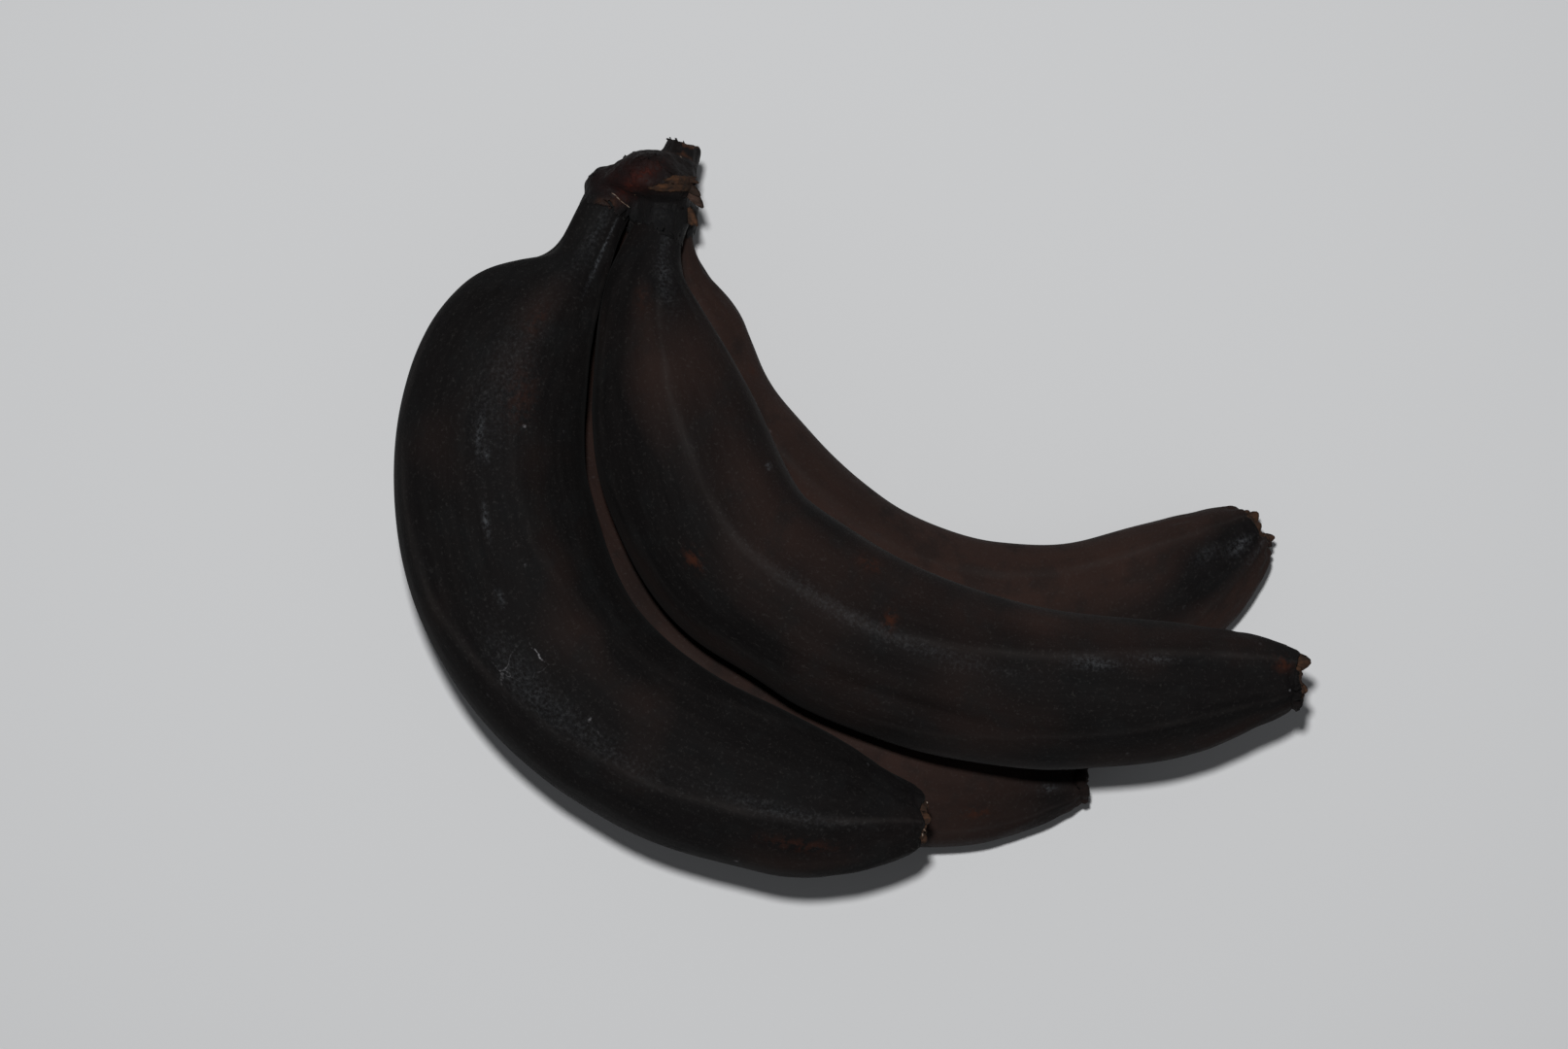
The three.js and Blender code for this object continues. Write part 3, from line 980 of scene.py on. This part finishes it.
crownSpec = {
    "voxel": 0.42,
    "sleeve": 4.6,
    "sleeveWidth": 0.62,
    "sleeveWall": 0.3,
    "clearance": 0.1,
    "coreStations": 44,
    "cutAt": (0.84, 0.84, 0.76),
    "cutFacing": (0.6, 0.58, 0.55),
    "wrinkle": 0.34,
    "bulge": 0.7,
    "shrink": 0.35,
    "near": 3,
    "shadeNear": 3.5,
}
crownLook = {
    "bark": (0.0062, 0.0046, 0.0044, 1),
    "neck": (0.005, 0.0046, 0.0046, 1),
    "slate": (0.0066, 0.007, 0.0077, 1),
    "maroon": (0.0105, 0.0038, 0.0036, 1),
    "raw": (0.04, 0.0082, 0.0052, 1),
    "woody": (0.04, 0.018, 0.0105, 1),
    "fresh": (0.12, 0.06, 0.036, 1),
    "fray": (0.16, 0.15, 0.13, 1),
    "gloss": 0.07,
    "sheen": 0.008,
    "bumpStrength": 0.7,
    "bumpDepth": 0.0003,
}


def makeCrownSkin():
    material, tree, surface = newMaterial("crownSkin")
    look = crownLook
    place = addNode(tree, "ShaderNodeTexCoord").outputs["Object"]
    turned = addNode(tree, "ShaderNodeMapping", {"Vector": place, "Rotation": (0, 0, math.radians(90))})
    streak = useEffect(tree, "streaks", {"place": turned.outputs[0], "fineness": 650.0, "drawnOut": 0.14,
                                         "softness": 0.2})
    lump = useEffect(tree, "patches", {"place": place, "fineness": 260.0, "level": 0.46, "edge": 0.18})
    grain = useEffect(tree, "patches", {"place": place, "fineness": 1100.0, "level": 0.45, "edge": 0.25})

    # dark bark, running out on the necks as peel
    colour = tint(tree, look["bark"], look["slate"], calc(tree, "MULTIPLY", lump, 0.5))
    neckColour = tint(tree, look["neck"], look["slate"], calc(tree, "MULTIPLY", streak, 0.7))
    colour = tint(tree, colour, neckColour, shadeOf(tree, "neckSkin"))

    # where the skin came off it is raw red, or woody
    colour = tint(tree, colour, look["maroon"], shadeOf(tree, "maroon"))
    raw = calc(tree, "MULTIPLY", shadeOf(tree, "raw"), portion(tree, grain, 0.3, 0.7))
    colour = tint(tree, colour, look["raw"], raw)
    woody = calc(tree, "MULTIPLY", shadeOf(tree, "woody"), portion(tree, lump, 0.25, 0.75))
    colour = tint(tree, colour, look["woody"], woody)

    # fibres of the cut end, and frayed edges
    fibre = useEffect(tree, "specks", {"place": place, "fineness": 900.0, "size": 0.3, "amount": 0.6})
    cutColour = tint(tree, look["woody"], look["fresh"], fibre)
    colour = tint(tree, colour, cutColour, shadeOf(tree, "cutEnd"))
    colour = tint(tree, colour, look["fray"], calc(tree, "MULTIPLY", shadeOf(tree, "fray"), grain))
    tree.links.new(colour, surface.inputs["Base Color"])

    rough = addNode(tree, "ShaderNodeMapRange", {"Value": lump, "To Min": 0.6, "To Max": 0.85})
    tree.links.new(rough.outputs[0], surface.inputs["Roughness"])
    surface.inputs["Specular IOR Level"].default_value = look["gloss"]
    surface.inputs["Sheen Weight"].default_value = look["sheen"]
    height = calc(tree, "ADD", calc(tree, "MULTIPLY", grain, 0.6), calc(tree, "MULTIPLY", streak, 0.5))
    bump = addNode(tree, "ShaderNodeBump",
                   {"Height": height, "Strength": look["bumpStrength"], "Distance": look["bumpDepth"]})
    tree.links.new(bump.outputs[0], surface.inputs["Normal"])
    return material


def neckFrame(finger, spot):
    # how far along a neck a point is, and its way out from the neck's middle, in millimetres
    away = spot - finger["root"]
    along = away.dot(finger["leaves"])
    return along / mm, (away - finger["leaves"] * along) / mm


def inCrown(shares):
    # a place in the crown's box
    low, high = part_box("crown")
    return low + Vector([part * span for part, span in zip(shares, high - low)])


def crownLump():
    # the solid with its loose triangles merged, and a plain sleeve over each neck
    lump = bpy.data.objects.new("crownLump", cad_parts["crown"].data.copy())
    bpy.context.scene.collection.objects.link(lump)
    pick(lump)
    bpy.ops.object.mode_set(mode="EDIT")
    bpy.ops.mesh.select_all(action="SELECT")
    bpy.ops.mesh.remove_doubles(threshold=0.00002)
    bpy.ops.mesh.normals_make_consistent(inside=False)
    bpy.ops.object.mode_set(mode="OBJECT")
    bpy.ops.object.select_all(action="DESELECT")
    sleeves = []
    for finger in fingers.values():
        spot = finger["root"] + finger["leaves"] * (crownSpec["sleeve"] / 2 - 1) * mm
        bpy.ops.mesh.primitive_cylinder_add(vertices=40,
                                            radius=(neckRadius + crownSpec["sleeveWidth"]) * mm,
                                            depth=(crownSpec["sleeve"] + 2) * mm, location=spot,
                                            rotation=finger["leaves"].to_track_quat("Z", "Y").to_euler())
        sleeves.append(bpy.context.object)
    joinAll(lump, sleeves)
    return lump


def relax(piece, factor, rounds):
    easing = piece.modifiers.new("relax", "SMOOTH")
    easing.factor = factor
    easing.iterations = rounds
    bake(piece, easing)


def sculptCrown(lump):
    # sleeves thin out on the necks with a torn edge, and the rest gets wrinkles
    for vertex in lump.data.vertices:
        spot = vertex.co.copy()
        onNeck = 0
        finger = min(fingers.values(), key=lambda each: neckFrame(each, spot)[1].length)
        along, out = neckFrame(finger, spot)
        if along > 0 and out.length < neckRadius + crownSpec["near"]:
            onNeck = ease(along, 0.2, 3)
            wall = crownSpec["sleeveWall"] * (1 - 0.7 * ease(along, 1.2, crownSpec["sleeve"]))
            thick = neckRadius + wall + 0.2 * noise.noise(spot / mm / 1.3) * ease(along, 1, 3)
            vertex.co += (out.normalized() * thick - out) * mm * onNeck
            torn = noise.noise(spot / mm / 1.1) + 0.6 * noise.noise(spot / mm / 3)
            vertex.co += finger["leaves"] * 1.8 * mm * torn * ease(along, 2.5, crownSpec["sleeve"])
        wrinkle = crownSpec["wrinkle"] * noise.noise(Vector((spot.x, spot.y * 0.4, spot.z)) / mm / 1.3)
        bulge = crownSpec["bulge"] * noise.noise(spot / mm / 5) - crownSpec["shrink"]
        vertex.co += vertex.normal * (wrinkle + bulge) * mm * (1 - onNeck)


def neckCore(name, finger):
    # the neck's own shape, a little fuller and a little deeper
    core = growBody(name + "Core", finger, crownSpec["coreStations"], crownSpec["clearance"])
    middle = middleLine(finger)
    layStraight(core, finger, middle)
    slide(core, finger["root"] - middle[0])
    for vertex in core.data.vertices:
        if (vertex.co - finger["root"]).dot(finger["leaves"]) < 0.4 * mm:
            vertex.co -= finger["leaves"] * 0.25 * mm
    return core


def makeCrown():
    lump = crownLump()
    cutSpot = inCrown(crownSpec["cutAt"])
    bpy.ops.object.mode_set(mode="EDIT")
    bpy.ops.mesh.select_all(action="SELECT")
    bpy.ops.mesh.bisect(plane_co=cutSpot, plane_no=crownSpec["cutFacing"], use_fill=True, clear_outer=True)
    bpy.ops.object.mode_set(mode="OBJECT")
    blend = lump.modifiers.new("blend", "REMESH")
    blend.mode = "VOXEL"
    blend.voxel_size = crownSpec["voxel"] * mm
    bake(lump, blend)
    relax(lump, 0.6, 9)
    sculptCrown(lump)
    relax(lump, 0.5, 2)
    for core in [neckCore(name, finger) for name, finger in fingers.items()]:
        socket = lump.modifiers.new("socket", "BOOLEAN")
        socket.operation = "DIFFERENCE"
        socket.object = core
        socket.solver = "MANIFOLD"
        bake(lump, socket)
        bpy.data.objects.remove(core)
    lump.name = "crownOfBunch"
    pick(lump)
    bpy.ops.object.shade_smooth()
    return lump


def alongNecks(spot):
    # how far a point lies along the necks it is close to
    farthest = -9
    for finger in fingers.values():
        along, out = neckFrame(finger, spot)
        if out.length < neckRadius + crownSpec["shadeNear"]:
            farthest = max(farthest, along)
    return farthest


def shadeCrown():
    low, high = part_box("crown")
    size = high - low
    middleHeight = (low.z + high.z) / 2
    cutFacing = Vector(crownSpec["cutFacing"]).normalized()
    sleeveEnd = crownSpec["sleeve"]
    shades = {"maroon": [], "raw": [], "woody": [], "neckSkin": [], "cutEnd": [], "fray": []}
    for vertex in crown.data.vertices:
        spot = vertex.co
        x = (spot.x - low.x) / size.x
        y = (spot.y - low.y) / size.y
        top = ease(spot.z, middleHeight + 6 * mm, middleHeight + 11 * mm)
        patchy = noise.noise(spot / mm / 1.4)
        # the raw patch runs aslant across the top
        across = (x - 0.47) * 0.7 - (y - 0.53) * 0.72
        alongPatch = (x - 0.47) * 0.72 + (y - 0.53) * 0.7
        raw = bell(across, 0.02, 0.075 + 0.03 * patchy) * bell(alongPatch, 0, 0.24)
        maroon = bell(x, 0.36, 0.26) * bell(y, 0.6, 0.2)
        woody = bell(x, 0.22, 0.09) * bell(y, 0.33, 0.045)
        along = alongNecks(spot)
        shades["raw"].append(raw * top)
        shades["maroon"].append(min(maroon * 1.3, 1) * (0.35 + 0.65 * top) * (0.8 + 0.4 * patchy))
        shades["woody"].append(woody * top)
        shades["neckSkin"].append(ease(along, -5, 0))
        facing = max(vertex.normal.dot(cutFacing), vertex.normal.y)
        shades["cutEnd"].append(ease(facing, 0.85, 0.96) * ease(y + 0.3 * (x - 0.8), 0.78, 0.84))
        shades["fray"].append(0.5 * ease(along, sleeveEnd - 0.7, sleeveEnd - 0.1) * max(patchy, 0))
    for name, values in shades.items():
        crown.data.attributes.new(name, "FLOAT", "POINT")
        values = [min(max(value, 0), 1) for value in values]
        crown.data.attributes[name].data.foreach_set("value", values)


crown = makeCrown()
shadeCrown()
crown.data.materials.clear()
crown.data.materials.append(makeCrownSkin())
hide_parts("crown")
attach(crown, "root")
print("crown grown")


# torn peel on the crown

# places are shares of the crown's box. A strip is (across, up, long, wide, lift, seed), and a shred
# is (place, heading, length, width, thickness)
tornLook = {
    "strips": [(0.835, 0.535, 6.2, 1.7, 0.15, 4), (0.77, 0.462, 9.0, 1.5, 0.5, 8)],
    "shreds": [((0.985, 0.42, 0.80), (0.85, -1, 0), 4.6, 2.4, 0.8, "fresh"),
               ((0.99, 0.30, 0.79), (0.6, -1, 0.1), 4.2, 2.0, 0.7, "dark"),
               ((0.99, 0.46, 0.84), (0.9, -0.7, 0.1), 3.0, 1.8, 0.7, "fresh"),
               ((0.96, 0.50, 0.86), (1, 0.7, 0.1), 1.9, 0.9, 0.5, "rusty"),
               ((0.97, 0.2, 0.78), (0.6, -0.9, 0.1), 2.0, 1.6, 0.7, "dark"),
               ((0.93, 0.55, 0.88), (0.9, -0.3, 0.2), 2.6, 1.0, 0.5, "rusty")],
    "pale": [((0.27, 0.42, 0.86), (0.8, -0.5, 0), 1.3, 0.22, 0.2),
             ((0.31, 0.385, 0.85), (0.8, -0.8, 0), 1.2, 0.26, 0.2),
             ((0.345, 0.345, 0.84), (0.7, -0.55, -0.1), 1.4, 0.2, 0.2),
             ((0.39, 0.31, 0.84), (0.8, -0.7, 0), 0.9, 0.22, 0.2),
             ((0.46, 0.40, 0.90), (0.8, 0.55, 0.1), 1.3, 0.24, 0.3),
             ((0.83, 0.79, 0.80), (0.7, -0.7, 0.1), 1.2, 0.24, 0.3)],
    "above": 0.35,
    "thick": 0.4,
    "fibreDepth": 0.22,
}


def makeStrip(number, across, upwards, long, wide, lift, seed):
    low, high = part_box("crown")
    middle = Vector((low.x + across * (high.x - low.x), low.y + upwards * (high.y - low.y), high.z))
    bpy.ops.object.select_all(action="DESELECT")
    bpy.ops.mesh.primitive_grid_add(x_subdivisions=56, y_subdivisions=12, size=1, location=middle)
    strip = bpy.context.object
    strip.name = "tornStrip" + str(number)
    bpy.ops.transform.resize(value=(long * mm, wide * mm, 1))
    bpy.ops.object.transform_apply(location=True, scale=True)
    below = BVHTree.FromObject(crown, bpy.context.evaluated_depsgraph_get())
    for vertex in strip.data.vertices:
        side = (vertex.co.x - middle.x) / (long * mm) * 2
        edge = (vertex.co.y - middle.y) / (wide * mm) * 2
        ragged = noise.noise(Vector((side * long * 0.9, edge * 2, seed)))
        ragged += 0.5 * noise.noise(Vector((side * long * 3, edge, seed)))
        narrow = 1 - 0.75 * ease(-side, 0.3, 1) - 0.2 * ease(side, 0.7, 1) + 0.45 * ragged * abs(edge)
        vertex.co.y = middle.y + edge * wide / 2 * mm * narrow + side * 0.25 * mm
        vertex.co.x += 0.7 * mm * ragged * ease(abs(side), 0.75, 1)
        hit = below.ray_cast(Vector((vertex.co.x, vertex.co.y, 0.2)), Vector((0, 0, -1)))
        top = hit[0].z if hit[0] is not None and hit[0].z > 0.04 else middle.z - 6 * mm
        curl = 0.5 * ease(side, 0.5, 1) + 0.3 * noise.noise(Vector((side * 3, edge * 2, seed + 3)))
        fibre = tornLook["fibreDepth"] * noise.noise(Vector((side * 2, edge * wide * 2.4, seed)))
        vertex.co.z = top + (tornLook["above"] + lift * (1 - abs(edge)) + curl + fibre) * mm
    thicken = strip.modifiers.new("thicken", "SOLIDIFY")
    thicken.thickness = tornLook["thick"] * mm
    thicken.offset = 0
    bake(strip, thicken)
    relax(strip, 0.5, 2)
    strip.data.materials.append(driedMaterials["strip"])
    pick(strip)
    bpy.ops.object.shade_smooth()
    return strip


def makeTornPeel():
    pieces = [makeStrip(number, *strip) for number, strip in enumerate(tornLook["strips"])]
    top = BVHTree.FromObject(crown, bpy.context.evaluated_depsgraph_get())
    for share, heading, length, width, thick, kind in tornLook["shreds"]:
        # each shred grows out of the crown, rooted a little under its skin
        root, outward = top.find_nearest(inCrown(share))[:2]
        pieces.append(addSliver(root - outward * 0.3 * mm, Vector(heading), length, width, thick, kind))
    for share, heading, length, width, thick in tornLook["pale"]:
        spot = inCrown(share)
        hit = top.ray_cast(Vector((spot.x, spot.y, 0.2)), Vector((0, 0, -1)))
        if hit[0] is not None:
            spot.z = hit[0].z + 0.1 * mm
        pieces.append(addSliver(spot, Vector(heading), length, width, thick, "pale"))
    joinAll(pieces[0], pieces[1:])
    torn = pieces[0]
    torn.name = "tornPeel"
    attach(torn, "root")


makeTornPeel()
print("torn peel laid")

bpy.data.objects.remove(sliver)


# floor and light

floorSpec = {"size": 8, "tone": (0.6, 0.605, 0.612, 1)}
lightSpec = {"aside": -0.034, "along": 0.0758, "height": 0.9, "aim": (-0.004, 0.012, 0), "power": 28,
             "cone": 100, "radius": 0.018, "fill": 0.11}


def makeFloor():
    bpy.ops.object.select_all(action="DESELECT")
    bpy.ops.mesh.primitive_plane_add(size=floorSpec["size"], location=(0, 0, 0))
    floor = bpy.context.object
    floor.name = "floor"
    material, tree, surface = newMaterial("paleFloor")
    surface.inputs["Base Color"].default_value = floorSpec["tone"]
    surface.inputs["Roughness"].default_value = 0.9
    surface.inputs["Specular IOR Level"].default_value = 0.1
    floor.data.materials.append(material)


def makeLights():
    spot = Vector((lightSpec["aside"], lightSpec["along"], lightSpec["height"]))
    facing = (Vector(lightSpec["aim"]) - spot).to_track_quat("-Z", "Y").to_euler()
    bpy.ops.object.light_add(type="SPOT", location=spot, rotation=facing)
    key = bpy.context.object
    key.name = "keyLight"
    key.data.energy = lightSpec["power"]
    key.data.spot_size = math.radians(lightSpec["cone"])
    key.data.spot_blend = 1
    key.data.shadow_soft_size = lightSpec["radius"]
    world = bpy.data.worlds.new("room")
    world.use_nodes = True
    world.node_tree.nodes["Background"].inputs["Color"].default_value = (0.95, 0.97, 1, 1)
    world.node_tree.nodes["Background"].inputs["Strength"].default_value = lightSpec["fill"]
    bpy.context.scene.world = world
    bpy.context.scene.view_settings.view_transform = "Standard"


makeFloor()
makeLights()
print("floor and light set")
